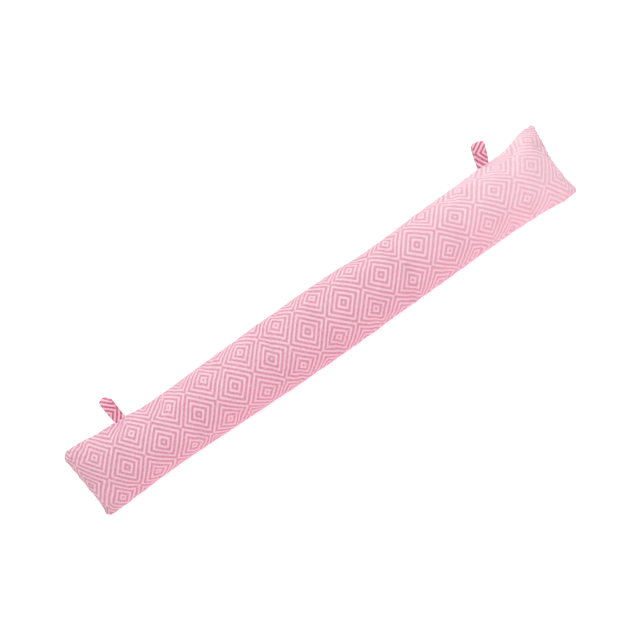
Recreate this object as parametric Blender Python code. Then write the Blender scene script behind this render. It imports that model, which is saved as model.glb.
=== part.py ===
"""Draught excluder: a long filled cover of diamond twill with two sewn-in hanging loops.

It lies on its back on the surface z = 0, its length along X and its loops towards +Y.
The origin is the middle of the flat patch that the cover rests on. All sizes are in metres.
"""

import math
from collections import namedtuple

import bmesh
import bpy
from mathutils import Matrix

# Driving dimensions of the cover
LENGTH = 0.900           # from corner to corner along a long seam
TOP_CROWN = 0.040        # rise of the front panel above the side seams
BELLY_DEPTH = 0.038      # drop of the back panel below the side seams, before it is pressed flat
SIDE_SEAM_HEIGHT = 0.0365
END_SEAM_HEIGHT = 0.0200
FILL_REACH = 0.135       # distance from an end seam to the full thickness
FILL_POWER = 0.72        # below 1 makes the ends blunter
END_HOLLOW = 0.0055      # the end seams are drawn in by this at their middle
END_HOLLOW_POWER = 10

# Where the cover's two long seams run, and how full it is: one row for each section from left to right
Section = namedtuple("Section", "x low_side loop_side fill")
SECTIONS = (
    Section(-0.450, -0.0600, 0.0625, 1.00),
    Section(-0.420, -0.0594, 0.0622, 1.00),
    Section(-0.389, -0.0583, 0.0580, 1.01),
    Section(-0.343, -0.0566, 0.0560, 1.00),
    Section(-0.295, -0.0553, 0.0510, 0.97),
    Section(-0.248, -0.0566, 0.0515, 0.98),
    Section(-0.185, -0.0580, 0.0530, 1.01),
    Section(-0.092, -0.0600, 0.0548, 1.02),
    Section(0.000, -0.0600, 0.0555, 1.01),
    Section(0.060, -0.0597, 0.0545, 1.00),
    Section(0.110, -0.0581, 0.0515, 0.98),
    Section(0.158, -0.0578, 0.0520, 0.98),
    Section(0.220, -0.0571, 0.0548, 1.01),
    Section(0.298, -0.0553, 0.0555, 1.02),
    Section(0.329, -0.0558, 0.0570, 1.01),
    Section(0.376, -0.0573, 0.0560, 1.00),
    Section(0.407, -0.0590, 0.0605, 1.00),
    Section(0.427, -0.0605, 0.0660, 1.00),
    Section(0.450, -0.0600, 0.0665, 1.00),
)

# How finely the cover's faces follow its shape
LENGTHWISE_FACES = 66
CROSSWISE_FACES = 19
END_CROWDING = 0.45      # share of the lengthwise spacing that crowds towards the ends

# Loops: a band of folded twill, sewn together at the root and open between its two layers
Loop = namedtuple("Loop", "name x lean_deg width length")
LOOPS = (
    Loop("loop_left", -0.3440, 1.0, 0.0190, 0.0380),
    Loop("loop_right", 0.3500, 20.0, 0.0205, 0.0350),
)
BAND_THICKNESS = 0.0022
BAND_SPREAD = 0.0100     # how far each layer's curve swings out, before the teardrop narrows it
BAND_TEARDROP = 1.5      # power that draws the two layers together towards the root
ROOT_LENGTH = 0.0050     # stretch where the two layers are sewn flat to each other
BAND_POINTS = 40
SEWN_GAP = 0.00035       # clearance between a loop's root and the cover's seam

# Colours, with the roughness of brushed cotton
COVER_PINK = (0.84, 0.46, 0.57, 1.0)
LOOP_PINK = (0.77, 0.27, 0.38, 1.0)
TWILL_ROUGHNESS = 0.85


def clear_scene():
    for item in list(bpy.data.objects):
        bpy.data.objects.remove(item, do_unlink=True)


def make_collection(name):
    collection = bpy.data.collections.new(name)
    bpy.context.scene.collection.children.link(collection)
    return collection


def twill(name, colour):
    material = bpy.data.materials.new(name)
    material.use_nodes = True
    shader = material.node_tree.nodes["Principled BSDF"]
    shader.inputs["Base Color"].default_value = colour
    shader.inputs["Roughness"].default_value = TWILL_ROUGHNESS
    shader.inputs["Metallic"].default_value = 0.0
    return material


def place(bm, name, material, collection):
    mesh = bpy.data.meshes.new(name)
    bmesh.ops.recalc_face_normals(bm, faces=bm.faces[:])
    if bm.calc_volume(signed=True) < 0.0:
        bmesh.ops.reverse_faces(bm, faces=bm.faces[:])
    bm.to_mesh(mesh)
    bm.free()
    mesh.materials.append(material)
    mesh.shade_smooth()
    mesh.set_sharp_from_angle(angle=math.radians(50))
    item = bpy.data.objects.new(name, mesh)
    collection.objects.link(item)
    return item


def along_sections(x, column):
    """One column of the section table at x, eased from each row to the next."""
    for left, right in zip(SECTIONS, SECTIONS[1:]):
        if x <= right.x:
            break
    share = min(max((x - left.x) / (right.x - left.x), 0.0), 1.0)
    ease = share * share * (3.0 - 2.0 * share)
    blend = 0.5 * (share + ease)
    low = getattr(left, column)
    return low + (getattr(right, column) - low) * blend


def fullness(x):
    """0 at an end seam, 1 where the cover has its full thickness."""
    from_end = max(0.5 * LENGTH - abs(x), 0.0)
    return math.sin(0.5 * math.pi * min(from_end / FILL_REACH, 1.0)) ** FILL_POWER


def cover_point(x, across, side):
    """A point of the front panel (side 1) or the back panel (side -1); across runs from -1 to 1."""
    middle = 0.5 * (along_sections(x, "loop_side") + along_sections(x, "low_side"))
    half_width = 0.5 * (along_sections(x, "loop_side") - along_sections(x, "low_side"))
    full = fullness(x)
    seam = END_SEAM_HEIGHT + (SIDE_SEAM_HEIGHT - END_SEAM_HEIGHT) * full
    arch = math.sqrt(max(1.0 - across * across, 0.0)) * full
    if side > 0:
        height = seam + TOP_CROWN * along_sections(x, "fill") * arch
    else:
        height = max(seam - BELLY_DEPTH * arch, 0.0)
    draw = END_HOLLOW * (1.0 - across * across) * (abs(x) / (0.5 * LENGTH)) ** END_HOLLOW_POWER
    return (x - math.copysign(draw, x), middle + half_width * across, height)


def lengthwise_places():
    places = []
    for step in range(LENGTHWISE_FACES + 1):
        even = 2.0 * step / LENGTHWISE_FACES - 1.0
        crowded = math.sin(0.5 * math.pi * even)
        places.append(0.5 * LENGTH * (even * (1.0 - END_CROWDING) + crowded * END_CROWDING))
    return places


def crosswise_places():
    return [math.sin(math.pi * (step / CROSSWISE_FACES - 0.5)) for step in range(CROSSWISE_FACES + 1)]


def make_cover(collection, material):
    """Two panels of faces that share their rim, as the front and back are sewn together all round."""
    bm = bmesh.new()
    places = lengthwise_places()
    across = crosswise_places()
    panels = {}
    for side in (1, -1):
        for i, x in enumerate(places):
            for j, v in enumerate(across):
                rim = i in (0, LENGTHWISE_FACES) or j in (0, CROSSWISE_FACES)
                if side < 0 and rim:
                    panels[side, i, j] = panels[1, i, j]
                else:
                    panels[side, i, j] = bm.verts.new(cover_point(x, v, side))
        for i in range(LENGTHWISE_FACES):
            for j in range(CROSSWISE_FACES):
                corners = [panels[side, i, j], panels[side, i + 1, j],
                           panels[side, i + 1, j + 1], panels[side, i, j + 1]]
                bm.faces.new(corners if side > 0 else corners[::-1])
    resting = [face for face in bm.faces if all(vert.co.z == 0.0 for vert in face.verts)]
    bmesh.ops.dissolve_faces(bm, faces=resting)
    return place(bm, "cover", material, collection)


def teardrop(length, offset):
    """The band's side view, as points out from the seam and up; offset moves it off the middle line."""
    points = []
    for step in range(1, BAND_POINTS):
        turn = 2.0 * math.pi * step / BAND_POINTS
        narrow = math.sin(0.5 * turn) ** BAND_TEARDROP
        out = ROOT_LENGTH + (length - ROOT_LENGTH - 0.5 * BAND_THICKNESS) * 0.5 * (1.0 - math.cos(turn))
        points.append((out, BAND_SPREAD * math.sin(turn) * narrow))
    moved = []
    for here, point in enumerate(points):
        before = points[max(here - 1, 0)]
        after = points[min(here + 1, len(points) - 1)]
        along = (after[0] - before[0], after[1] - before[1])
        size = math.hypot(*along)
        moved.append((point[0] - offset * along[1] / size, point[1] + offset * along[0] / size))
    return moved


def outline(curve, points):
    spline = curve.splines.new("POLY")
    spline.points.add(len(points) - 1)
    for spot, (out, up) in zip(spline.points, points):
        spot.co = (out, up, 0.0, 1.0)
    spline.use_cyclic_u = True


def make_loop(loop, collection, material):
    """A flat outline with its opening, as wide as the band, set against the cover's long seam."""
    outer = [(0.0, BAND_THICKNESS)] + teardrop(loop.length, 0.5 * BAND_THICKNESS) + [(0.0, -BAND_THICKNESS)]
    inner = teardrop(loop.length, -0.5 * BAND_THICKNESS)
    half = len(inner) // 2
    # Near the root the two layers touch, so the opening starts where its two sides have parted
    inner = [spot for here, spot in enumerate(inner) if (spot[1] > 0.0) == (here < half)]
    curve = bpy.data.curves.new(loop.name + "_outline", "CURVE")
    curve.dimensions = "2D"
    curve.fill_mode = "BOTH"
    curve.extrude = 0.5 * loop.width
    outline(curve, outer)
    outline(curve, inner)
    flat = bpy.data.objects.new(loop.name + "_outline", curve)
    collection.objects.link(flat)
    bpy.context.view_layer.update()
    mesh = bpy.data.meshes.new_from_object(flat.evaluated_get(bpy.context.evaluated_depsgraph_get()))
    bpy.data.objects.remove(flat, do_unlink=True)
    bm = bmesh.new()
    bm.from_mesh(mesh)
    bpy.data.meshes.remove(mesh)
    bmesh.ops.remove_doubles(bm, verts=bm.verts[:], dist=0.00001)
    # The band's width runs along the seam, its length leans out from it
    reach = 0.5 * loop.width
    rise = along_sections(loop.x + reach, "loop_side") - along_sections(loop.x - reach, "loop_side")
    slope = rise / loop.width
    lean = math.tan(math.radians(loop.lean_deg))
    frame = Matrix((
        (lean, 0.0, 1.0, loop.x),
        (1.0, 0.0, slope, along_sections(loop.x, "loop_side") + SEWN_GAP),
        (0.0, 1.0, 0.0, SIDE_SEAM_HEIGHT),
        (0.0, 0.0, 0.0, 1.0),
    ))
    bm.transform(frame)
    return place(bm, loop.name, material, collection)


def main():
    clear_scene()
    collection = make_collection("draught_excluder")
    make_cover(collection, twill("cover_twill", COVER_PINK))
    loop_twill = twill("loop_twill", LOOP_PINK)
    for loop in LOOPS:
        make_loop(loop, collection, loop_twill)


main()
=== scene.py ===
"""Draught excluder in pink diamond twill: a long filled cover with two sewn-in hanging loops.

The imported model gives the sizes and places. Everything is in metres: length along X, loops towards +Y, up +Z.
"""

import math
from collections import namedtuple

import bpy
import numpy as np
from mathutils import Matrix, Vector, noise
from mathutils.bvhtree import BVHTree


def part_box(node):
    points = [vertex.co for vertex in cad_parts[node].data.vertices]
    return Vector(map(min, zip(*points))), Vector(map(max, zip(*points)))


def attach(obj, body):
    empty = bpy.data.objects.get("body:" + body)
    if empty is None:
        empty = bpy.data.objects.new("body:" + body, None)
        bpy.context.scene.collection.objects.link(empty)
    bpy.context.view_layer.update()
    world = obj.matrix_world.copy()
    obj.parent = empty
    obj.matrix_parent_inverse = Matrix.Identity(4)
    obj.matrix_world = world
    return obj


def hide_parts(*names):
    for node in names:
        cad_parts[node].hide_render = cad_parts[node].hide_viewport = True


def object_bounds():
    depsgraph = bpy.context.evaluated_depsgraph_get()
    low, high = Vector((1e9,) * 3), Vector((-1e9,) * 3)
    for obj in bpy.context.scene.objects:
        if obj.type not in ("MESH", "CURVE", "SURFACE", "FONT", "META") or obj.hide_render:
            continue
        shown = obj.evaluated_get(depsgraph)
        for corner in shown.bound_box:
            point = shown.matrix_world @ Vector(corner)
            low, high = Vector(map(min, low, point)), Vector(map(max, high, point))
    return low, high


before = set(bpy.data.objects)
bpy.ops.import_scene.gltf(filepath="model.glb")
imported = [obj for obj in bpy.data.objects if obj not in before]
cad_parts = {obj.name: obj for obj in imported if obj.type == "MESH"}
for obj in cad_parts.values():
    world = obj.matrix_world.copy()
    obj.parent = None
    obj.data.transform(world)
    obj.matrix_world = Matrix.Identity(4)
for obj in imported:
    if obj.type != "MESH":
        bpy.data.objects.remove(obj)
CAD_LOW, CAD_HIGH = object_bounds()

# View: straight down on the front panel, rolled so that the cover rises to the right
PIXEL = 0.00156                    # one pixel of the 640 pixel picture, at the height of the side seams
PICTURE = 640
ROLL_DEG = 34.84
AIM = (0.0021, 0.0035)             # the point of the floor behind the picture's middle
LENS = 100.0
SENSOR = 36.0

# Cover: how its cloth is divided, and how the filling presses it out
SEAM_HEIGHT = 0.5 * (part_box("loop_left")[0].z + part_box("loop_left")[1].z)
HALF_LENGTH = 0.5 * (CAD_HIGH.x - CAD_LOW.x)
END_HOLLOW = 0.0055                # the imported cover's end seams are drawn in by this at their middle
END_HOLLOW_POWER = 10
CORNER_RADIUS = 0.0075
ROWS = 150                         # cells along the cover, before they are halved
CELLS = 24                         # cells across each panel
END_CROWDING = 0.55                # share of the lengthwise spacing that crowds towards the ends
RIM_INSET = 0.0005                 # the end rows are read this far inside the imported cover's corners
EVEN_ROUNDS = 6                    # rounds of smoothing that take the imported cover's facets away
INFLATE_STEPS = 20
INFLATE_CAP = 0.006                # no point of the cloth is blown farther than this
CLOTH_QUALITY = 6
CLOTH_MASS = 0.3
STRETCH_STIFFNESS = 20.0
SHEAR_STIFFNESS = 8.0
BENDING_STIFFNESS = 1.5
FILLING_PRESSURE = 4.0
CLOTH_SHRINK = -0.015              # below 0, so the cloth has a little to spare for its tucks

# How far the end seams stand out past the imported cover's, from the front edge (-1) to the loop side (1)
EndLine = namedtuple("EndLine", "across left right")
END_LINES = (
    EndLine(-1.00, -0.0058, 0.0012),
    EndLine(-0.88, -0.0012, 0.0016),
    EndLine(-0.75, -0.0020, 0.0002),
    EndLine(-0.50, 0.0000, 0.0002),
    EndLine(-0.20, 0.0015, 0.0003),
    EndLine(0.10, 0.0038, 0.0010),
    EndLine(0.35, 0.0048, 0.0022),
    EndLine(0.60, 0.0050, 0.0044),
    EndLine(0.80, 0.0048, 0.0030),
    EndLine(1.00, -0.0050, 0.0024),
)
END_REACH = 0.060                  # how far from an end seam the cloth follows it
FRONT_EDGE_OUT = 0.0017            # the front long edge rolls out by this
EAR_FLARE = 0.0018                 # both long edges swing out a little before the right end
EAR_FLARE_AT = 0.418
EAR_FLARE_SIZE = 0.016

# Sewing: the ditch along the seam, the flat edge at each end and the puckers that the thread draws
DITCH_DEPTH = 0.0011
DITCH_WIDTH = 0.0040
DITCH_FROM_END = 0.010             # it fades out this close to an end seam
LIP_WIDTH = 0.00105                # the end edges lie flattest over this width, and rise after it
LIP_EASE = 0.0060
LIP_FLATNESS = 0.65                # at the corners, where the two panels lie flat on each other
LIP_MIDDLE = 0.45                  # share of that flatness in the middle of an end
LIP_CORNER_REACH = 0.025
CORNER_FILL = 0.0024               # each corner holds its turned-in seam allowance, so it is never knife-thin
CORNER_FILL_EASE = 0.0035
CORNER_FILL_REACH = 0.016
NOSE_FILL = 0.45                   # the filling stands up behind the end seam by this share
NOSE_REACH = 0.018
SCALLOP_DEPTH = 0.0016             # the end seam steps in a little at each pulled stitch
SCALLOP_PITCH = 0.0095
SCALLOP_REACH = 0.004
SCALLOP_STRAY = 0.5                # the stitches stray from an even pitch by this share of it
SCALLOP_STRAY_SIZE = 3.0 * SCALLOP_PITCH
LEFT_PULL = 0.35                   # the left end's stitches are pulled this share as hard as the right end's
LEFT_TO_RIGHT = 0.4
FRONT_PULL = 0.4                   # and the front corners' this share as hard as the loop side's
FRONT_TO_LOOPS = 0.04
PIT_DEPTH = 0.0020                 # and the cloth dips just behind it
PIT_AT = 0.0030
PIT_SIZE = 0.0024
END_PUCKER = 0.0010
END_PUCKER_REACH = 0.020
SIDE_PUCKER = 0.0005
SIDE_PUCKER_REACH = 0.010
PUCKER_PITCH = 0.013
PUCKER_STRETCH = 0.3               # puckers run straight in from their seam, so they vary less that way
FINE_PUCKER = 0.6                  # finer puckers between them, as a share of their height
FINE_PUCKER_PITCH = 0.4 * PUCKER_PITCH
LUMP_HEIGHT = 0.0010
LUMP_SIZE = 0.075
LUMP_FROM_END = 0.05               # the lumps fade out this close to the seams
LUMP_FROM_SIDE = 0.02
LIFT_OFF = 0.004                   # cloth this far above the floor moves freely
SCALLOP_SEED, END_PUCKER_SEED, FINE_PUCKER_SEED, SIDE_PUCKER_SEED, LUMP_SEED = 17.0, 3.0, 8.0, 5.0, 11.0
NOISE_GAIN = 1.6                   # brings the noise's heights to about -1 to 1

# Hollows pressed into the front panel: where the end of the filling stops short of a corner
Hollow = namedtuple("Hollow", "start end depth width")
HOLLOWS = (
    Hollow((0.402, 0.050), (0.380, 0.028), 0.0040, 0.0075),
    Hollow((-0.440, -0.052), (-0.425, -0.040), 0.0020, 0.0050),
)
HOLLOW_FADE = 0.6                  # a hollow is this much shallower at its end than at its start
HOLLOW_WRAP = 0.01                 # and wraps this far round the seam onto the back panel

# Diamond twill: its repeat, measured along the cloth
REPEAT_ALONG = 0.0713
ROW_SPACING = 0.0396               # from one row of diamonds to the next, across the cloth
STRIPES = 3.75                     # stripes from a diamond's middle to its point
THREADS = 22.5                     # threads from a diamond's middle to its point, three over and three under
MIDDLE_DIAMOND = -0.0238           # where the middle diamond of the front panel lies along the cover
WEAVE_STRETCH = 0.0350             # the weave opens towards the right end by this share of each metre

# How far the weave strays from an even one: its middle row, and how its two edges bow and crowd
Drift = namedtuple("Drift", "x along across loop_bow front_bow loop_crowd")
DRIFTS = (
    Drift(-0.440, -0.0130, -0.0060, 0.0030, 0.0000, 0.0000),
    Drift(-0.415, -0.0054, -0.0108, 0.0028, 0.0000, 0.0000),
    Drift(-0.375, -0.0005, -0.0120, 0.0026, 0.0000, 0.0000),
    Drift(-0.306, 0.0000, -0.0106, 0.0020, 0.0000, 0.0000),
    Drift(-0.235, -0.0006, -0.0062, 0.0010, 0.0000, 0.0000),
    Drift(-0.165, 0.0002, -0.0020, 0.0000, 0.0000, 0.0000),
    Drift(-0.095, 0.0004, 0.0005, -0.0004, 0.0000, 0.0000),
    Drift(-0.022, 0.0000, 0.0028, -0.0008, 0.0000, 0.0000),
    Drift(0.050, 0.0004, 0.0089, -0.0012, 0.0000, 0.0000),
    Drift(0.121, 0.0012, 0.0113, -0.0020, -0.0006, 0.0000),
    Drift(0.193, 0.0027, 0.0164, -0.0042, -0.0020, 0.0000),
    Drift(0.231, 0.0031, 0.0178, -0.0052, -0.0028, 0.0000),
    Drift(0.269, 0.0039, 0.0166, -0.0086, -0.0050, 0.0000),
    Drift(0.310, 0.0035, 0.0162, -0.0104, -0.0062, -0.0010),
    Drift(0.341, 0.0031, 0.0155, -0.0136, -0.0064, -0.0060),
    Drift(0.368, 0.0040, 0.0148, -0.0168, -0.0064, -0.0088),
    Drift(0.410, 0.0064, 0.0137, -0.0200, -0.0064, -0.0072),
    Drift(0.440, 0.0096, 0.0130, -0.0250, -0.0064, -0.0110),
)
BOW_AT = 0.057                     # the bows are measured this far across the cloth from its middle line
BACK_SHIFT = (0.31, 0.4)           # the back panel is cut from elsewhere in the repeat and the row spacing
EVEN_WIDTH_ROWS = 16               # the weave keeps its even rows over this many rows of cells each way


def crossing(points, pairs, x):
    """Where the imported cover's edges cross the plane at x: its outermost point on each side."""
    start = points[pairs[:, 0]]
    end = points[pairs[:, 1]]
    spans = (start[:, 0] - x) * (end[:, 0] - x) <= 0.0
    spans &= np.abs(start[:, 0] - end[:, 0]) > 1e-9
    start = start[spans]
    end = end[spans]
    share = ((x - start[:, 0]) / (end[:, 0] - start[:, 0]))[:, None]
    met = start + (end - start) * share
    return met[np.argmin(met[:, 1])], met[np.argmax(met[:, 1])]


def on_rim(i, j, rows, cells):
    return i in (0, rows) or j in (0, cells)


def cover_grid():
    """Two grids of points, front and back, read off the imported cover. They share their rim."""
    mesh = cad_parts["cover"].data
    corners = [vert.co for vert in mesh.vertices]
    points = np.array(corners)
    pairs = np.array([edge.vertices for edge in mesh.edges])
    tree = BVHTree.FromPolygons(corners, [face.vertices for face in mesh.polygons])
    grid = np.zeros((2, ROWS + 1, CELLS + 1, 3))
    for i in range(ROWS + 1):
        even = 2.0 * i / ROWS - 1.0
        x = HALF_LENGTH * (even * (1.0 - END_CROWDING) + math.sin(0.5 * math.pi * even) * END_CROWDING)
        inside = min(max(x, RIM_INSET - HALF_LENGTH), HALF_LENGTH - RIM_INSET)
        low, high = crossing(points, pairs, inside)
        middle = 0.5 * (low + high)
        for j in range(CELLS + 1):
            across = math.sin(math.pi * (j / CELLS - 0.5))
            draw = END_HOLLOW * (1.0 - across * across) * (abs(x) / HALF_LENGTH) ** END_HOLLOW_POWER
            y = middle[1] + 0.5 * (high[1] - low[1]) * across
            place = Vector((x - math.copysign(draw, x), y, middle[2]))
            for side, up in ((0, 1.0), (1, -1.0)):
                hit = None
                if not on_rim(i, j, ROWS, CELLS):
                    hit = tree.ray_cast(Vector((place.x, place.y, up)), Vector((0.0, 0.0, -up)))[0]
                grid[side, i, j] = hit or tree.find_nearest(place)[0]
    rim = [(i, j) for i in range(ROWS + 1) for j in range(CELLS + 1) if on_rim(i, j, ROWS, CELLS)]
    for i, j in rim:
        grid[1, i, j] = grid[0, i, j]
    return grid


def even_out(grid):
    """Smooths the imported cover's facets away. The rim stays, and the flat underside stays flat."""
    for _ in range(EVEN_ROUNDS):
        mean = 0.25 * (grid[:, :-2, 1:-1] + grid[:, 2:, 1:-1] + grid[:, 1:-1, :-2] + grid[:, 1:-1, 2:])
        grid[:, 1:-1, 1:-1] = 0.5 * grid[:, 1:-1, 1:-1] + 0.5 * mean
    return grid


def fit_outline(grid):
    """Moves the cloth near the seams until the seams run where the photograph shows them."""
    across = np.sin(math.pi * (np.arange(CELLS + 1) / CELLS - 0.5))
    stations = [line.across for line in END_LINES]
    from_left = grid[..., 0] - grid[:, :1, :, 0]
    from_right = grid[:, -1:, :, 0] - grid[..., 0]
    left_out = np.interp(across, stations, [line.left for line in END_LINES])
    right_out = np.interp(across, stations, [line.right for line in END_LINES])
    grid[..., 0] -= left_out * np.exp(-((from_left / END_REACH) ** 2))
    grid[..., 0] += right_out * np.exp(-((from_right / END_REACH) ** 2))
    grid[..., 1] -= FRONT_EDGE_OUT * 0.5 * (1.0 - across)
    flare = EAR_FLARE * np.exp(-(((grid[..., 0] - EAR_FLARE_AT) / EAR_FLARE_SIZE) ** 2))
    grid[..., 1] += flare * across ** 3
    return grid


def round_corners(grid):
    """Bends the four sharp corners of the rim to quarter circles, as turned corners never come to a point."""
    low = grid[:, :, :1, 1]
    high = grid[:, :, -1:, 1]
    left = grid[:, :1, :, 0]
    right = grid[:, -1:, :, 0]
    for to_end, end_sign in ((grid[..., 0] - left, 1.0), (right - grid[..., 0], -1.0)):
        for to_side, side_sign in ((grid[..., 1] - low, 1.0), (high - grid[..., 1], -1.0)):
            p = np.clip(1.0 - to_end / CORNER_RADIUS, 0.0, 1.0)
            q = np.clip(1.0 - to_side / CORNER_RADIUS, 0.0, 1.0)
            reach = np.hypot(p, q)
            pull = np.where(reach > 1e-6, np.maximum(p, q) / np.maximum(reach, 1e-6), 1.0)
            grid[..., 0] += end_sign * CORNER_RADIUS * (p - p * pull)
            grid[..., 1] += side_sign * CORNER_RADIUS * (q - q * pull)
    return grid


def refine(grid):
    """Halves the cells, on smooth curves through the old points that run on over the seams."""
    for axis in (1, 2):
        old = np.moveaxis(grid, axis, 1)
        over = old[::-1]
        ring = np.concatenate([over[:, 1:2], old, over[:, -2:-1]], axis=1)
        new = np.zeros((2, 2 * old.shape[1] - 1) + old.shape[2:])
        new[:, 0::2] = old
        new[:, 1::2] = (9.0 * (ring[:, 1:-2] + ring[:, 2:-1]) - ring[:, :-3] - ring[:, 3:]) / 16.0
        grid = np.moveaxis(new, 1, axis)
    return np.ascontiguousarray(grid)


def vertex_numbers(rows, cells):
    """The vertex number of each grid point: the front panel first, then the back panel without its rim."""
    numbers = np.zeros((2, rows + 1, cells + 1), dtype=int)
    numbers[0] = np.arange((rows + 1) * (cells + 1)).reshape(rows + 1, cells + 1)
    numbers[1] = numbers[0]
    inner = np.arange((rows - 1) * (cells - 1)).reshape(rows - 1, cells - 1)
    numbers[1, 1:-1, 1:-1] = (rows + 1) * (cells + 1) + inner
    return numbers


def face_corners(rows, cells):
    """The grid points (side, row, cell) of each face, in the order that makes it face outwards."""
    i, j = np.meshgrid(np.arange(rows), np.arange(cells), indexing="ij")
    i = i.ravel()
    j = j.ravel()
    front = np.stack([(0 * i, i, j), (0 * i, i + 1, j), (0 * i, i + 1, j + 1), (0 * i, i, j + 1)])
    back = front[::-1].copy()
    back[:, 0] = 1
    return np.concatenate([front, back], axis=2).transpose(2, 0, 1)


def cover_mesh(name, grid):
    rows, cells = grid.shape[1] - 1, grid.shape[2] - 1
    numbers = vertex_numbers(rows, cells)
    corners = face_corners(rows, cells)
    points = np.zeros((numbers.max() + 1, 3))
    points[numbers[1]] = grid[1]
    points[numbers[0]] = grid[0]
    faces = numbers[corners[:, :, 0], corners[:, :, 1], corners[:, :, 2]]
    mesh = bpy.data.meshes.new(name)
    mesh.from_pydata(points.tolist(), [], faces.tolist())
    mesh.shade_smooth()
    item = bpy.data.objects.new(name, mesh)
    bpy.context.scene.collection.objects.link(item)
    return item, numbers, corners


def inflate(grid):
    """Blows the panels up inside their sewn rim, so that the cloth finds its own crown and tucks."""
    scene = bpy.context.scene
    pillow, numbers, corners = cover_mesh("inflating", grid)
    seam = pillow.vertex_groups.new(name="seam")
    inner = np.zeros_like(numbers[0], dtype=bool)
    inner[1:-1, 1:-1] = True
    seam.add(numbers[0][~inner].tolist(), 1.0, "REPLACE")
    cloth = pillow.modifiers.new("Inflate", "CLOTH")
    settings = cloth.settings
    settings.quality = CLOTH_QUALITY
    settings.mass = CLOTH_MASS
    settings.tension_stiffness = STRETCH_STIFFNESS
    settings.compression_stiffness = STRETCH_STIFFNESS
    settings.shear_stiffness = SHEAR_STIFFNESS
    settings.bending_stiffness = BENDING_STIFFNESS
    settings.use_pressure = True
    settings.uniform_pressure_force = FILLING_PRESSURE
    settings.shrink_min = CLOTH_SHRINK
    settings.vertex_group_mass = "seam"
    settings.effector_weights.gravity = 0.0
    cloth.collision_settings.use_collision = False
    cloth.collision_settings.use_self_collision = False
    cloth.point_cache.frame_start = 1
    cloth.point_cache.frame_end = INFLATE_STEPS
    for step in range(1, INFLATE_STEPS + 1):
        scene.frame_set(step)
    blown = pillow.evaluated_get(bpy.context.evaluated_depsgraph_get()).data
    after = np.array([vert.co for vert in blown.vertices])[numbers]
    scene.frame_set(1)
    bpy.data.objects.remove(pillow, do_unlink=True)
    moved = after - grid
    size = np.linalg.norm(moved, axis=-1, keepdims=True)
    settled = grid + moved * np.minimum(1.0, INFLATE_CAP / np.maximum(size, 1e-9))
    settled[..., 2] = np.maximum(settled[..., 2], 0.0)
    return settled


def outward(grid):
    """The direction out of the cloth at each grid point."""
    along = np.gradient(grid, axis=1)
    across = np.gradient(grid, axis=2)
    out = np.cross(along, across)
    out[1] *= -1.0
    rim = np.ones(grid.shape[1:3], dtype=bool)
    rim[1:-1, 1:-1] = False
    shared = out[0] + out[1]
    out[:, rim] = shared[rim]
    return out / np.maximum(np.linalg.norm(out, axis=-1, keepdims=True), 1e-12)


def distances(grid):
    """How far each point is from the nearer end seam and from the nearer side seam, over the cloth."""
    result = []
    for axis in (1, 2):
        steps = np.linalg.norm(np.diff(grid, axis=axis), axis=-1)
        start = np.zeros_like(np.take(steps, [0], axis=axis))
        run = np.concatenate([start, np.cumsum(steps, axis=axis)], axis=axis)
        total = np.take(run, [-1], axis=axis)
        result.append(np.minimum(run, total - run))
    return result


def ease(values):
    """0 below 0, 1 above 1, and a smooth rise between."""
    share = np.clip(values, 0.0, 1.0)
    return share * share * (3.0 - 2.0 * share)


def wander(x, y, size, seed):
    """Smooth random heights between about -1 and 1, one for each point, in blobs of the given size."""
    flat = zip(np.ravel(x) / size, np.ravel(y) / size)
    return np.array([noise.noise(Vector((a, b, seed))) for a, b in flat]).reshape(np.shape(x)) * NOISE_GAIN


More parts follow.
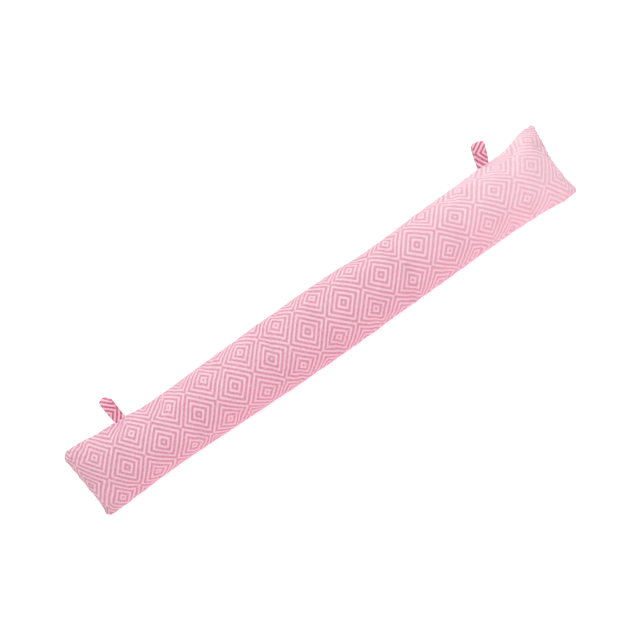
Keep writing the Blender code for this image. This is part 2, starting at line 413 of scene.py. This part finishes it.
def sewn(grid):
    """Puts in what needle and filling leave: flat end edges, puckers, the seam's ditch, lumps, hollows."""
    to_end, to_side = distances(grid)
    x, y = grid[..., 0], grid[..., 1]
    seam_line = np.broadcast_to(grid[:1, :1, :, 2], grid.shape[:3]).copy()
    right = x > 0.0
    seam_line[right] = np.broadcast_to(grid[:1, -1:, :, 2], grid.shape[:3])[right]
    # The end edges lie flat as far as the seam allowance reaches, and the filling stands up behind them
    flatness = LIP_FLATNESS * (LIP_MIDDLE + (1.0 - LIP_MIDDLE) * np.exp(-to_side / LIP_CORNER_REACH))
    lies_flat = flatness * (1.0 - ease((to_end - LIP_WIDTH) / LIP_EASE))
    stands = 1.0 + NOSE_FILL * np.exp(-to_end / NOSE_REACH)
    grid[..., 2] = seam_line + (grid[..., 2] - seam_line) * (1.0 - lies_flat) * stands
    grid[..., 2] = np.maximum(grid[..., 2], 0.0)
    # Each pulled stitch takes the end seam in a little
    strays = SCALLOP_STRAY * wander(x, y, SCALLOP_STRAY_SIZE, SCALLOP_SEED)
    beat = np.abs(np.sin(math.pi * (y / SCALLOP_PITCH + strays)))
    pull = LEFT_PULL + (1.0 - LEFT_PULL) * ease(0.5 + x / LEFT_TO_RIGHT)
    pull *= FRONT_PULL + (1.0 - FRONT_PULL) * ease(0.5 + y / FRONT_TO_LOOPS)
    grid[..., 0] -= np.sign(x) * SCALLOP_DEPTH * pull * (1.0 - beat) * np.exp(-to_end / SCALLOP_REACH)
    out = outward(grid)
    pit = PIT_DEPTH * pull * (1.0 - beat) ** 2 * np.exp(-(((to_end - PIT_AT) / PIT_SIZE) ** 2))
    # Puckers, stronger at the ends, where more cloth is drawn in
    beat_end = wander(PUCKER_STRETCH * x, y, PUCKER_PITCH, END_PUCKER_SEED)
    beat_end += FINE_PUCKER * wander(x, y, FINE_PUCKER_PITCH, FINE_PUCKER_SEED)
    beat_side = wander(x, PUCKER_STRETCH * y, PUCKER_PITCH, SIDE_PUCKER_SEED)
    height = END_PUCKER * beat_end * np.exp(-to_end / END_PUCKER_REACH)
    height += SIDE_PUCKER * beat_side * np.exp(-to_side / SIDE_PUCKER_REACH) - pit
    # The filling is never quite even
    lumps = LUMP_HEIGHT * wander(x, y, LUMP_SIZE, LUMP_SEED)
    height += lumps * ease(to_end / LUMP_FROM_END) * ease(to_side / LUMP_FROM_SIDE)
    # The stitches draw a ditch between the two panels
    nearest = np.minimum(to_end, to_side)
    height -= DITCH_DEPTH * np.exp(-((nearest / DITCH_WIDTH) ** 2)) * ease(to_end / DITCH_FROM_END)
    height += CORNER_FILL * ease(nearest / CORNER_FILL_EASE) * np.exp(-(to_end + to_side) / CORNER_FILL_REACH)
    for hollow in HOLLOWS:
        start = np.array(hollow.start)
        line = np.array(hollow.end) - start
        offset = grid[..., :2] - start
        share = np.clip((offset @ line) / (line @ line), 0.0, 1.0)
        away = np.linalg.norm(offset - share[..., None] * line, axis=-1)
        pressed = hollow.depth * np.exp(-((away / hollow.width) ** 2)) * (1.0 - HOLLOW_FADE * share)
        pressed[1] *= ease(1.0 - to_side[1] / HOLLOW_WRAP)
        height -= pressed
    # The underside lies on the floor, so it only moves where it is free
    free = ease(grid[..., 2] / LIFT_OFF)
    free[0] = 1.0
    moved = grid + out * (height * free)[..., None]
    moved[..., 2] = np.maximum(moved[..., 2], 0.0)
    rim = np.ones(grid.shape[1:3], dtype=bool)
    rim[1:-1, 1:-1] = False
    moved[1][rim] = moved[0][rim]
    return moved


def smooth_along(values, reach):
    """A running mean over the rows, the same number of rows each way."""
    padded = np.pad(values, reach, mode="edge")
    return np.convolve(padded, np.ones(2 * reach + 1) / (2 * reach + 1), mode="valid")


def cloth_coordinates(grid):
    """Where each point lies on the flat panel: along it and across it, both from its middle."""
    rows, cells = grid.shape[1] - 1, grid.shape[2] - 1
    flat = np.zeros(grid.shape[:3] + (2,))
    for side in (0, 1):
        g = grid[side]
        across = np.linalg.norm(np.diff(g, axis=1), axis=2)
        across = np.concatenate([np.zeros((rows + 1, 1)), np.cumsum(across, axis=1)], axis=1)
        width = across[:, -1:]
        even_width = smooth_along(width[:, 0], EVEN_WIDTH_ROWS)[:, None]
        along = np.linalg.norm(np.diff(g[:, cells // 2], axis=0), axis=1)
        along = np.concatenate([[0.0], np.cumsum(along)])
        along -= along[rows // 2]
        flat[side, :, :, 0] = along[:, None] + (g[:, :, 0] - g[:, cells // 2, 0][:, None])
        flat[side, :, :, 1] = (across / width - 0.5) * even_width
    return flat


def front_weave(grid, flat):
    """Sets the front panel's diamonds as the photograph shows them: how they climb and open along it."""
    along = flat[..., 0] - MIDDLE_DIAMOND
    x = grid[0, ..., 0]
    stations = [drift.x for drift in DRIFTS]
    shift_along = np.interp(x, stations, [drift.along for drift in DRIFTS])
    shift_across = np.interp(x, stations, [drift.across for drift in DRIFTS])
    loop_bow = np.interp(x, stations, [drift.loop_bow for drift in DRIFTS])
    front_bow = np.interp(x, stations, [drift.front_bow for drift in DRIFTS])
    edge = flat[..., 1] / BOW_AT
    loop_crowd = np.interp(x, stations, [drift.loop_crowd for drift in DRIFTS])
    shift_along = shift_along + np.where(edge > 0.0, loop_bow, front_bow) * edge ** 2
    shift_across = shift_across + np.where(edge > 0.0, loop_crowd, 0.0) * edge ** 2
    opened = along * (1.0 - WEAVE_STRETCH * along)
    return np.stack([opened - shift_along, flat[..., 1] - shift_across], axis=-1)


def bake_strips(flat, corners):
    """A second map without overlaps: the two halves of the two panels, one strip above the other."""
    margin = 0.006
    rows = flat.shape[1] - 1
    half = (corners[:, :, 1].min(axis=1) >= rows // 2).astype(int)
    strip = corners[:, 0, 0] * 2 + half
    along = flat[corners[:, :, 0], corners[:, :, 1], corners[:, :, 2], 0]
    across = flat[corners[:, :, 0], corners[:, :, 1], corners[:, :, 2], 1]
    u = np.zeros_like(along)
    v = np.zeros_like(across)
    for number in range(4):
        here = strip == number
        for target, source in ((u, along), (v, across)):
            part = source[here]
            target[here] = margin + (1.0 - 2.0 * margin) * (part - part.min()) / (part.max() - part.min())
    return np.stack([u, (strip[:, None] + v) / 4.0], axis=-1)


def make_cover(material):
    grid = round_corners(fit_outline(even_out(cover_grid())))
    grid = inflate(grid)
    grid = refine(grid)
    flat = cloth_coordinates(grid)
    weave = flat.copy()
    weave[0] = front_weave(grid, flat[0])
    weave[1] += np.array(BACK_SHIFT) * np.array([REPEAT_ALONG, ROW_SPACING])
    cover, numbers, corners = cover_mesh("cover_cloth", sewn(grid))
    cloth = cover.data.uv_layers.new(name="Cloth")
    cloth.data.foreach_set("uv", weave[corners[:, :, 0], corners[:, :, 1], corners[:, :, 2]].ravel())
    bake = cover.data.uv_layers.new(name="OFBake")
    bake.data.foreach_set("uv", bake_strips(flat, corners).ravel())
    cover.data.materials.append(material)
    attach(cover, "root")
    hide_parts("cover")


# Loops: bands of the same twill, folded in half and caught in the long seam
Band = namedtuple("Band", "node lean_deg aside longer root_width tip_width left_round right_round back_aside"
                          " weave_x fold")
BANDS = (
    Band("loop_left", -4.5, 0.0010, 0.0036, 0.0180, 0.0182, 0.0042, 0.0098, 0.0012, 0.0135, 0.0150),
    Band("loop_right", 19.5, -0.0006, 0.0034, 0.0188, 0.0204, 0.0042, 0.0016, -0.0016, -0.0138, 0.0195),
)
BAND_ROUND_POWER = 3.0             # how suddenly the fold's corners turn back
BAND_ROUND_REACH = 6.0
BAND_WEAVE_SCALE = 0.87            # the stripes lie this much closer on the loops than on the cover
BAND_THICKNESS = 0.0018
BAND_EDGE_POWER = 0.6              # below 1 makes the band's section flatter than an ellipse
BAND_FACE_POWER = 0.5
BAND_SPREAD = 0.0098
BAND_TEARDROP = 1.5
BAND_APART = 0.52 * BAND_THICKNESS  # half the distance between the two layers where they are sewn together
BAND_WIDENING = 1.3                # the band is as wide as its tip from 1 / this of its length
BACK_SHIFT_RATE = 3.0              # how soon past the fold the back layer has moved aside
BAND_ROOT = 0.0050                 # stretch where the two layers are sewn flat to each other
BAND_TUCK = 0.0030                 # how far the band's ends go into the seam
BAND_SEWN_SHARE = 0.10             # share of the band's length, at each end, that is sewn flat
BAND_TURN_REACH = 0.010            # the band has its full lean this far out from the seam
BAND_STEPS = 110
BAND_SIDES = 32
BAND_RIPPLE = 0.0004
RIPPLES_ACROSS = 90.0              # ripples in each metre of the band, across it and along it
RIPPLES_ALONG = 70.0


def band_line(length):
    """The band's middle line, seen along the seam: distance out from the seam and height, root to root."""
    points = []
    reach = length - BAND_ROOT - 0.5 * BAND_THICKNESS
    for step in range(BAND_STEPS + 1):
        share = step / BAND_STEPS
        side = 1.0 if share < 0.5 else -1.0
        near = min(share, 1.0 - share)
        if near < BAND_SEWN_SHARE:
            out = -BAND_TUCK + (BAND_ROOT + BAND_TUCK) * near / BAND_SEWN_SHARE
            points.append((out, side * BAND_APART))
            continue
        turn = 2.0 * math.pi * (share - BAND_SEWN_SHARE) / (1.0 - 2.0 * BAND_SEWN_SHARE)
        out = BAND_ROOT + reach * 0.5 * (1.0 - math.cos(turn))
        swing = BAND_SPREAD * math.sin(turn) * abs(math.sin(0.5 * turn)) ** BAND_TEARDROP
        held = max(0.0, 1.0 - (out - BAND_ROOT) / (0.5 * reach)) * side * BAND_APART
        points.append((out, swing + held))
    return points


def band_section(width):
    """The band's section, its raw edges turned in: places across and through the cloth."""
    places = []
    for side in range(BAND_SIDES):
        angle = 2.0 * math.pi * (side + 0.5) / BAND_SIDES
        across = math.copysign(abs(math.cos(angle)) ** BAND_EDGE_POWER, math.cos(angle))
        through = math.copysign(abs(math.sin(angle)) ** BAND_FACE_POWER, math.sin(angle))
        places.append((across * 0.5 * width, through * 0.5 * BAND_THICKNESS))
    return places


def make_band(band, material):
    """A flattened tube of cloth swept along the folded middle line, then turned towards its lean."""
    low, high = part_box(band.node)
    lean = math.radians(band.lean_deg)
    length = (high.y - low.y - 0.5 * band.tip_width * abs(math.sin(lean))) / math.cos(lean) + band.longer
    root_x = low.x + 0.5 * band.tip_width + band.aside
    line = band_line(length)
    run = np.concatenate([[0.0], np.cumsum([math.dist(a, b) for a, b in zip(line, line[1:])])])
    rings = []
    weaves = []
    for step, (out, up) in enumerate(line):
        before = line[max(step - 1, 0)]
        after = line[min(step + 1, BAND_STEPS)]
        along = Vector((after[0] - before[0], after[1] - before[1])).normalized()
        far = min(max(out, 0.0) / length, 1.0)
        widening = math.sin(0.5 * math.pi * min(BAND_WIDENING * far, 1.0))
        width = band.root_width + (band.tip_width - band.root_width) * widening
        turn = lean * min(max(out, 0.0) / BAND_TURN_REACH, 1.0)
        # The back layer lies a little to one side of the front one
        back = band.back_aside * float(ease(BACK_SHIFT_RATE * (2.0 * step / BAND_STEPS - 1.0)))
        ring = []
        weave = []
        for across, through in band_section(width):
            spot = Vector((across * RIPPLES_ACROSS, run[step] * RIPPLES_ALONG, band.lean_deg))
            ripple = BAND_RIPPLE * noise.noise(spot)
            cut = band.left_round if across < 0.0 else band.right_round
            corner = cut * (abs(across) / (0.5 * width)) ** BAND_ROUND_POWER * far ** BAND_ROUND_REACH
            reach = out - along.y * (through + ripple) - corner
            height = up + along.x * (through + ripple)
            x = root_x + back + across * math.cos(turn) + reach * math.sin(lean)
            y = low.y - across * math.sin(turn) + reach * math.cos(lean)
            ring.append((x, y, SEAM_HEIGHT + height))
            weave.append((across, run[step]))
        rings.append(ring)
        weaves.append(weave)
    points = [point for ring in rings for point in ring]
    faces = []
    places = []
    for step in range(BAND_STEPS):
        for side in range(BAND_SIDES):
            after = (side + 1) % BAND_SIDES
            spots = [(step, side), (step + 1, side), (step + 1, after), (step, after)]
            faces.append([a * BAND_SIDES + b for a, b in spots])
            places.extend(weaves[a][b] for a, b in spots)
    ends = [list(range(BAND_SIDES)), [BAND_STEPS * BAND_SIDES + side for side in reversed(range(BAND_SIDES))]]
    places.extend(weaves[0])
    places.extend(reversed(weaves[-1]))
    mesh = bpy.data.meshes.new(band.node + "_band")
    mesh.from_pydata(points, [], faces + ends)
    mesh.shade_smooth()
    cloth = mesh.uv_layers.new(name="Cloth")
    fold = band.fold + BAND_TUCK
    flat = [((across / BAND_WEAVE_SCALE + band.weave_x), (place - fold) / BAND_WEAVE_SCALE)
            for across, place in places]
    cloth.data.foreach_set("uv", np.array(flat).ravel())
    mesh.materials.append(material)
    item = bpy.data.objects.new(band.node + "_band", mesh)
    bpy.context.scene.collection.objects.link(item)
    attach(item, "root")
    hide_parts(band.node)


class Tree:
    """Adds nodes to one node tree and joins their sockets."""

    def __init__(self, tree):
        self.tree = tree

    def node(self, kind, **settings):
        made = self.tree.nodes.new(kind)
        for name, value in settings.items():
            setattr(made, name, value)
        return made

    def feed(self, socket, value):
        if isinstance(value, bpy.types.NodeSocket):
            self.tree.links.new(value, socket)
        else:
            socket.default_value = value

    def math(self, operation, *values):
        made = self.node("ShaderNodeMath", operation=operation)
        for socket, value in zip(made.inputs, values):
            self.feed(socket, value)
        return made.outputs[0]

    def limit(self, value):
        made = self.node("ShaderNodeClamp")
        self.feed(made.inputs[0], value)
        return made.outputs[0]

    def between(self, share, low, high):
        """A number that goes from low to high as share goes from 0 to 1."""
        made = self.node("ShaderNodeMix", data_type="FLOAT")
        for socket, value in zip((made.inputs[0], made.inputs[2], made.inputs[3]), (share, low, high)):
            self.feed(socket, value)
        return made.outputs[0]

    def blend(self, mode, share, first, second):
        """Two colours mixed in one of Blender's ways."""
        made = self.node("ShaderNodeMix", data_type="RGBA", blend_type=mode)
        for socket, value in zip((made.inputs[0], made.inputs[6], made.inputs[7]), (share, first, second)):
            self.feed(socket, value)
        return made.outputs[2]

    def vector(self, x, y, z=0.0):
        made = self.node("ShaderNodeCombineXYZ")
        for socket, value in zip(made.inputs, (x, y, z)):
            self.feed(socket, value)
        return made.outputs[0]

    def noise(self, place, kind):
        made = self.node("ShaderNodeTexNoise")
        self.feed(made.inputs["Vector"], place)
        made.inputs["Scale"].default_value = kind.scale
        made.inputs["Detail"].default_value = kind.detail
        made.inputs["Roughness"].default_value = kind.roughness
        return made.outputs["Fac"]


def new_group(name, inputs, outputs):
    """A shader node group with the sockets that inputs and outputs name, and its input and output nodes."""
    group = bpy.data.node_groups.new(name, "ShaderNodeTree")
    for direction, sockets in (("INPUT", inputs), ("OUTPUT", outputs)):
        for label, kind, *start in sockets:
            socket = group.interface.new_socket(label, in_out=direction, socket_type=kind)
            if start:
                socket.default_value = start[0]
    tree = Tree(group)
    return group, tree, tree.node("NodeGroupInput").outputs, tree.node("NodeGroupOutput").inputs


Noise = namedtuple("Noise", "scale detail roughness")
STREAKS = Noise(2.4, 3.0, 0.65)    # the dye along a thread
STREAK_STEP = 0.37                 # how far its noise moves on from one thread to the next
STREAK_RUN = 0.11                  # and along a thread, from each crossing to the next
WEFT_STREAKS_UP = 5.0              # the weft takes its streaks from another layer of the noise
Dye = namedtuple("Dye", "contrast share")
WARP_DYE = Dye(6.0, 0.45)          # how much of the warp took the deep shade
WEFT_DYE = Dye(1.6, 0.12)          # and how much pink the weft took
RIDGE_POWER = 2.2                  # how flat-topped a thread's ridge is
DIVE_POWER = 0.5
DIVE_SHARE = 0.65                  # a thread loses this share of its height at both ends of its float


def twill_group():
    """Diamond twill, thread by thread: three over and three under, turned about at each diamond's point."""
    group, t, given, result = new_group(
        "Diamond twill",
        (
            ("Cloth", "NodeSocketVector"),
            ("Repeat Along", "NodeSocketFloat", REPEAT_ALONG),
            ("Row Spacing", "NodeSocketFloat", ROW_SPACING),
            ("Pale Weft", "NodeSocketColor"),
            ("Pink Warp", "NodeSocketColor"),
            ("Deep Warp", "NodeSocketColor"),
            ("Uneven Dye", "NodeSocketFloat", 0.5),
            ("Groove Shade", "NodeSocketFloat", 0.3),
        ),
        (("Colour", "NodeSocketColor"), ("Height", "NodeSocketFloat"), ("Warp On Top", "NodeSocketFloat")),
    )
    place = t.node("ShaderNodeSeparateXYZ")
    t.feed(place.inputs[0], given["Cloth"])
    # Warp ends are counted along the cover, and weft picks across it
    ends = t.math("MULTIPLY", t.math("DIVIDE", place.outputs[0], given["Repeat Along"]), 2.0 * THREADS)
    picks = t.math("MULTIPLY", t.math("DIVIDE", place.outputs[1], given["Row Spacing"]), THREADS)
    end_number = t.math("FLOOR", ends)
    pick_number = t.math("FLOOR", picks)
    end_middle = t.math("PINGPONG", t.math("ADD", end_number, 0.5), THREADS)
    pick_middle = t.math("PINGPONG", t.math("ADD", pick_number, 0.5), THREADS)

    def lift(from_end, from_pick):
        """Above 0 where the weft shows, below 0 where the warp does."""
        turns = t.math("MULTIPLY", t.math("ADD", from_end, from_pick), STRIPES / THREADS)
        return t.math("COSINE", t.math("MULTIPLY", turns, 2.0 * math.pi))

    warp_on_top = t.math("LESS_THAN", lift(end_middle, pick_middle), 0.0)
    # Each thread is a rounded ridge that dives under at both ends of its float
    along_warp = lift(end_middle, t.math("PINGPONG", picks, THREADS))
    along_weft = lift(t.math("PINGPONG", ends, THREADS), pick_middle)
    ridges = []
    for across, along in ((picks, along_weft), (ends, along_warp)):
        inside = t.math("SUBTRACT", across, t.math("FLOOR", across))
        off = t.math("ABSOLUTE", t.math("SUBTRACT", t.math("MULTIPLY", inside, 2.0), 1.0))
        crown = t.math("SUBTRACT", 1.0, t.math("POWER", off, RIDGE_POWER))
        dive = t.math("POWER", t.math("ABSOLUTE", along), DIVE_POWER)
        ridges.append(t.math("MULTIPLY", crown, t.math("MULTIPLY_ADD", dive, DIVE_SHARE, 1.0 - DIVE_SHARE)))
    height = t.between(warp_on_top, ridges[0], ridges[1])
    # The dye takes unevenly: from thread to thread, and in streaks along a thread
    warp_place = t.vector(t.math("MULTIPLY", end_number, STREAK_STEP), t.math("MULTIPLY", picks, STREAK_RUN))
    pick_place = t.math("MULTIPLY", pick_number, STREAK_STEP)
    weft_place = t.vector(t.math("MULTIPLY", ends, STREAK_RUN), pick_place, WEFT_STREAKS_UP)
    taken = []
    for place_on_thread, dye in ((warp_place, WARP_DYE), (weft_place, WEFT_DYE)):
        streaks = t.math("SUBTRACT", t.noise(place_on_thread, STREAKS), 0.5)
        streaks = t.math("MULTIPLY", streaks, dye.contrast)
        taken.append(t.limit(t.math("MULTIPLY_ADD", streaks, given["Uneven Dye"], dye.share)))
    warp_colour = t.blend("MIX", taken[0], given["Pink Warp"], given["Deep Warp"])
    weft_colour = t.blend("MIX", taken[1], given["Pale Weft"], given["Pink Warp"])
    colour = t.blend("MIX", warp_on_top, weft_colour, warp_colour)
    lit = t.math("SUBTRACT", 1.0, t.math("MULTIPLY", t.math("SUBTRACT", 1.0, height), given["Groove Shade"]))
    t.feed(result["Colour"], t.blend("MULTIPLY", 1.0, colour, t.vector(lit, lit, lit)))
    t.feed(result["Height"], height)
    t.feed(result["Warp On Top"], warp_on_top)
    return group


TINT_SHARES = (0.7, -1.1, -0.8)    # how a warmer patch changes the red, the green and the blue
PAINTED_HAZE_AT = 0.42                 # how far along the cloth from its middle the painted haze, a painted veil of light, is strongest
PAINTED_HAZE_POWER = 1.5
FIBRES = Noise(1900.0, 3.0, 0.7)
TUFTS = Noise(260.0, 3.0, 0.6)
PATCHES = Noise(170.0, 3.0, 0.7)
SHADE_BLOBS = Noise(28.0, 2.0, 0.5)
TUFT_START = 0.42                  # the nap covers the weave where the tufts' noise is above this
TUFT_SLOPE = 4.0
FIBRE_SPECKS = 0.25                # how much the single fibres speckle the shade
FIBRE_RELIEF = 0.25                # how much the fibres and tufts add to the threads' relief
TUFT_RELIEF = 0.2


def nap_group():
    """Brushed yarn: a soft nap that blurs the threads' relief, and shades that wander over the cloth. It also
    adds a painted haze: towards one end the colour is mixed towards the pale fibre shade, a painted veil of
    light.
    """
    group, t, given, result = new_group(
        "Brushed nap",
        (
            ("Cloth", "NodeSocketVector"),
            ("Colour", "NodeSocketColor"),
            ("Height", "NodeSocketFloat"),
            ("Fibre", "NodeSocketColor"),
            ("Fibre Cover", "NodeSocketFloat", 0.2),
            ("Shade Wander", "NodeSocketFloat", 0.06),
            ("Tint Wander", "NodeSocketFloat", 0.5),
            ("Paler End", "NodeSocketFloat", 0.0),
        ),
        (("Colour", "NodeSocketColor"), ("Height", "NodeSocketFloat"), ("Roughness", "NodeSocketFloat")),
    )
    fibres = t.noise(given["Cloth"], FIBRES)
    tufts = t.noise(given["Cloth"], TUFTS)
    shades = t.noise(given["Cloth"], SHADE_BLOBS)
    cover = t.limit(t.math("MULTIPLY", t.math("SUBTRACT", tufts, TUFT_START), TUFT_SLOPE))
    cover = t.math("MULTIPLY", cover, given["Fibre Cover"])
    # Painted haze: towards one end of the cover the colour is mixed more and more towards the pale fibre shade,
    # a painted veil of light rather than a change in the nap
    place = t.node("ShaderNodeSeparateXYZ")
    t.feed(place.inputs[0], given["Cloth"])
    to_end = t.limit(t.math("DIVIDE", place.outputs[0], PAINTED_HAZE_AT))
    painted_haze = t.math("MULTIPLY", t.math("POWER", to_end, PAINTED_HAZE_POWER), given["Paler End"])
    cover = t.math("MAXIMUM", cover, painted_haze)
    nap_and_painted_haze = t.blend("MIX", cover, given["Colour"], given["Fibre"])
    reach = t.math("MULTIPLY", given["Shade Wander"], 2.0)
    wander = t.math("MULTIPLY_ADD", t.math("SUBTRACT", shades, 0.5), reach, 1.0)
    specks = t.math("MULTIPLY_ADD", t.math("SUBTRACT", fibres, 0.5), FIBRE_SPECKS, 1.0)
    tone = t.math("MULTIPLY", wander, specks)
    # Some patches took the dye warmer and some greyer
    patches = t.noise(given["Cloth"], PATCHES)
    tint = t.math("MULTIPLY", t.math("SUBTRACT", patches, 0.5), given["Tint Wander"])
    tinted = [t.math("MULTIPLY", tone, t.math("MULTIPLY_ADD", tint, share, 1.0)) for share in TINT_SHARES]
    t.feed(result["Colour"], t.blend("MULTIPLY", 1.0, nap_and_painted_haze, t.vector(*tinted)))
    tufted = t.math("MULTIPLY_ADD", tufts, TUFT_RELIEF, given["Height"])
    t.feed(result["Height"], t.math("MULTIPLY_ADD", fibres, FIBRE_RELIEF, tufted))
    t.feed(result["Roughness"], t.math("MULTIPLY_ADD", given["Height"], -0.08, 0.95))
    return group


# fibre is the nap's own shade, and the painted haze towards the cover's right end also mixes towards it
Shades = namedtuple("Shades", "pale pink deep fibre")
COVER_SHADES = Shades((0.76, 0.48, 0.55, 1.0), (0.48, 0.25, 0.31, 1.0), (0.63, 0.21, 0.33, 1.0),
                      (0.80, 0.60, 0.65, 1.0))
LOOP_SHADES = Shades((0.90, 0.51, 0.60, 1.0), (0.36, 0.10, 0.165, 1.0), (0.66, 0.095, 0.21, 1.0),
                     (0.84, 0.54, 0.61, 1.0))
THREAD_RELIEF = 0.0006


def twill_material(name, twill, nap, shades, painted_haze_end=0.0):
    """Soft brushed twill: the weave's colours and relief under a light nap, with an optional painted haze, a
    veil of light painted into the colour towards one end.
    """
    material = bpy.data.materials.new(name)
    material.use_nodes = True
    t = Tree(material.node_tree)
    shader = material.node_tree.nodes["Principled BSDF"]
    place = t.node("ShaderNodeUVMap", uv_map="Cloth").outputs[0]
    weave = t.node("ShaderNodeGroup", node_tree=twill)
    t.feed(weave.inputs["Cloth"], place)
    weave.inputs["Pale Weft"].default_value = shades.pale
    weave.inputs["Pink Warp"].default_value = shades.pink
    weave.inputs["Deep Warp"].default_value = shades.deep
    brushed = t.node("ShaderNodeGroup", node_tree=nap)
    t.feed(brushed.inputs["Cloth"], place)
    t.feed(brushed.inputs["Colour"], weave.outputs["Colour"])
    t.feed(brushed.inputs["Height"], weave.outputs["Height"])
    brushed.inputs["Fibre"].default_value = shades.fibre
    brushed.inputs["Paler End"].default_value = painted_haze_end
    t.feed(shader.inputs["Base Color"], brushed.outputs["Colour"])
    t.feed(shader.inputs["Roughness"], brushed.outputs["Roughness"])
    shader.inputs["Specular IOR Level"].default_value = 0.2
    shader.inputs["Sheen Weight"].default_value = 0.06
    shader.inputs["Sheen Roughness"].default_value = 0.5
    shader.inputs["Sheen Tint"].default_value = (1.0, 0.93, 0.95, 1.0)
    bump = t.node("ShaderNodeBump")
    bump.inputs["Strength"].default_value = 0.6
    bump.inputs["Distance"].default_value = THREAD_RELIEF
    t.feed(bump.inputs["Height"], brushed.outputs["Height"])
    t.feed(shader.inputs["Normal"], bump.outputs[0])
    return material


# Studio: an even white room, with a soft lamp above the loop side and a rosy fill below the front edge
FLOOR_SIZE = 12.0
FLOOR_DROP = 0.0002
ROOM_LIGHT = 1.12
FLOOR_GLOW = 0.20                  # the floor is a light table, so it stays white close to the cover
Lamp = namedtuple("Lamp", "name place size power colour")
LAMPS = (
    Lamp("window_lamp", (0.05, 1.35, 1.20), 1.3, 18.0, (0.92, 1.0, 1.0)),
    Lamp("fill_lamp", (0.00, -1.50, 0.60), 1.2, 9.5, (1.0, 0.44, 0.58)),
)


def make_floor():
    bpy.ops.mesh.primitive_plane_add(size=FLOOR_SIZE, location=(0.0, 0.0, -FLOOR_DROP))
    floor = bpy.context.object
    floor.name = "floor"
    material = bpy.data.materials.new("floor_paper")
    material.use_nodes = True
    shader = material.node_tree.nodes["Principled BSDF"]
    shader.inputs["Base Color"].default_value = (0.95, 0.95, 0.95, 1.0)
    shader.inputs["Roughness"].default_value = 0.9
    shader.inputs["Specular IOR Level"].default_value = 0.1
    shader.inputs["Emission Color"].default_value = (1.0, 1.0, 1.0, 1.0)
    shader.inputs["Emission Strength"].default_value = FLOOR_GLOW
    floor.data.materials.append(material)


def make_studio():
    scene = bpy.context.scene
    scene.world = bpy.data.worlds.new("studio")
    scene.world.use_nodes = True
    room = scene.world.node_tree.nodes["Background"]
    room.inputs["Color"].default_value = (1.0, 1.0, 1.0, 1.0)
    room.inputs["Strength"].default_value = ROOM_LIGHT
    scene.view_settings.view_transform = "Standard"
    for lamp in LAMPS:
        light = bpy.data.lights.new(lamp.name, "AREA")
        light.size = lamp.size
        light.energy = lamp.power
        light.color = lamp.colour
        item = bpy.data.objects.new(lamp.name, light)
        item.location = lamp.place
        item.rotation_euler = (-Vector(lamp.place)).to_track_quat("-Z", "Y").to_euler()
        scene.collection.objects.link(item)
    make_floor()


def make_camera():
    data = bpy.data.cameras.new("camera")
    data.lens = LENS
    data.sensor_width = SENSOR
    camera = bpy.data.objects.new("camera", data)
    distance = PIXEL * PICTURE * LENS / SENSOR
    camera.location = (AIM[0], AIM[1], SEAM_HEIGHT + distance)
    camera.rotation_euler = (0.0, 0.0, math.radians(-ROLL_DEG))
    bpy.context.scene.collection.objects.link(camera)
    bpy.context.scene.camera = camera


def main():
    make_camera()
    make_studio()
    twill = twill_group()
    nap = nap_group()
    # The cover's colour is painted paler towards its right end: a painted haze that stands in for a veil of
    # light
    make_cover(twill_material("cover_twill", twill, nap, COVER_SHADES, painted_haze_end=0.44))
    loop_twill = twill_material("loop_twill", twill, nap, LOOP_SHADES)
    for band in BANDS:
        make_band(band, loop_twill)


main()
